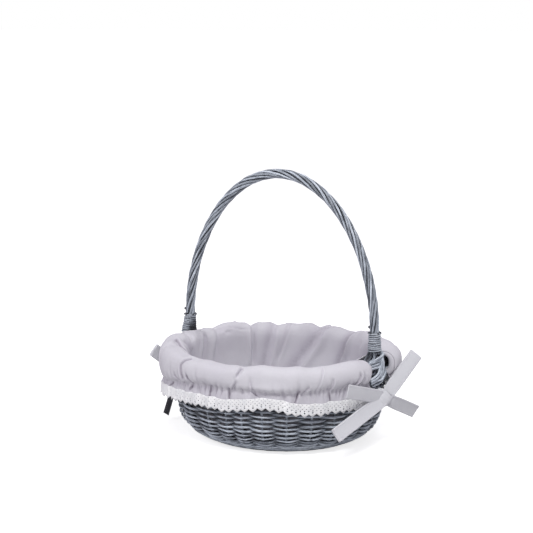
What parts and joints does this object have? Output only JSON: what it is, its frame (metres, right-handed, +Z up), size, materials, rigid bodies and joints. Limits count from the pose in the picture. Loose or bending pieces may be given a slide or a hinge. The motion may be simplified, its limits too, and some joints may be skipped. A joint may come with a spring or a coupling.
{
  "type": "flower girl basket",
  "caption": "Oval grey wicker basket with a twisted hoop handle and a puffed fabric liner with frill, lace edging and bows tied at the handle feet.",
  "frame": {"origin": "middle of the flat underside of the base, where the basket stands", "axes": "+Z up, X along the basket from handle foot to handle foot, -Y the front, so the handle's hoop lies in the XZ plane"},
  "size_m": [0.3041, 0.2414, 0.3036],
  "materials": {
    "willow": "blue-grey stained willow, satin",
    "willow_dark": "blue-grey stained willow, darker rods, satin",
    "willow_pale": "blue-grey stained willow, paler rods, satin",
    "liner_cloth": "fine plain-weave cotton blend, soft sheen",
    "tie_cloth": "pressed double cloth of the ties, soft sheen",
    "lace": "white cotton edging, matt",
    "elastic": "white knitted elastic, matt"
  },
  "bodies": {
    "root": {"base_weave": "willow", "wall_weave": "willow", "handle_foot_left": "willow", "handle_foot_right": "willow", "handle_rod_2": "willow", "handle_rod_4": "willow", "handle_rod_6": "willow", "handle_rod_8": "willow", "base_long_sticks": "willow_dark", "base_short_sticks": "willow_dark", "foot_wale": "willow_dark", "side_stakes": "willow_dark", "rim_border": "willow_dark", "handle_core": "willow_dark", "handle_rod_1": "willow_pale", "handle_rod_3": "willow_pale", "handle_rod_5": "willow_pale", "handle_rod_7": "willow_pale", "handle_wrap_left": "willow_pale", "handle_wrap_right": "willow_pale", "liner_floor": "liner_cloth", "liner_panel_front": "liner_cloth", "liner_panel_right": "liner_cloth", "liner_panel_back": "liner_cloth", "liner_panel_left": "liner_cloth", "liner_roll_front": "liner_cloth", "liner_roll_back": "liner_cloth", "ruffle_front": "liner_cloth", "ruffle_back": "liner_cloth", "bow_right_knot": "tie_cloth", "bow_right_loop_front": "tie_cloth", "bow_right_loop_back": "tie_cloth", "bow_right_tail_front": "tie_cloth", "bow_right_tail_back": "tie_cloth", "bow_left_knot": "tie_cloth", "bow_left_loop_front": "tie_cloth", "bow_left_loop_back": "tie_cloth", "bow_left_tail_front": "tie_cloth", "bow_left_tail_back": "tie_cloth", "lace_front": "lace", "lace_back": "lace", "elastic_front": "elastic", "elastic_back": "elastic"}
  },
  "joints": []
}
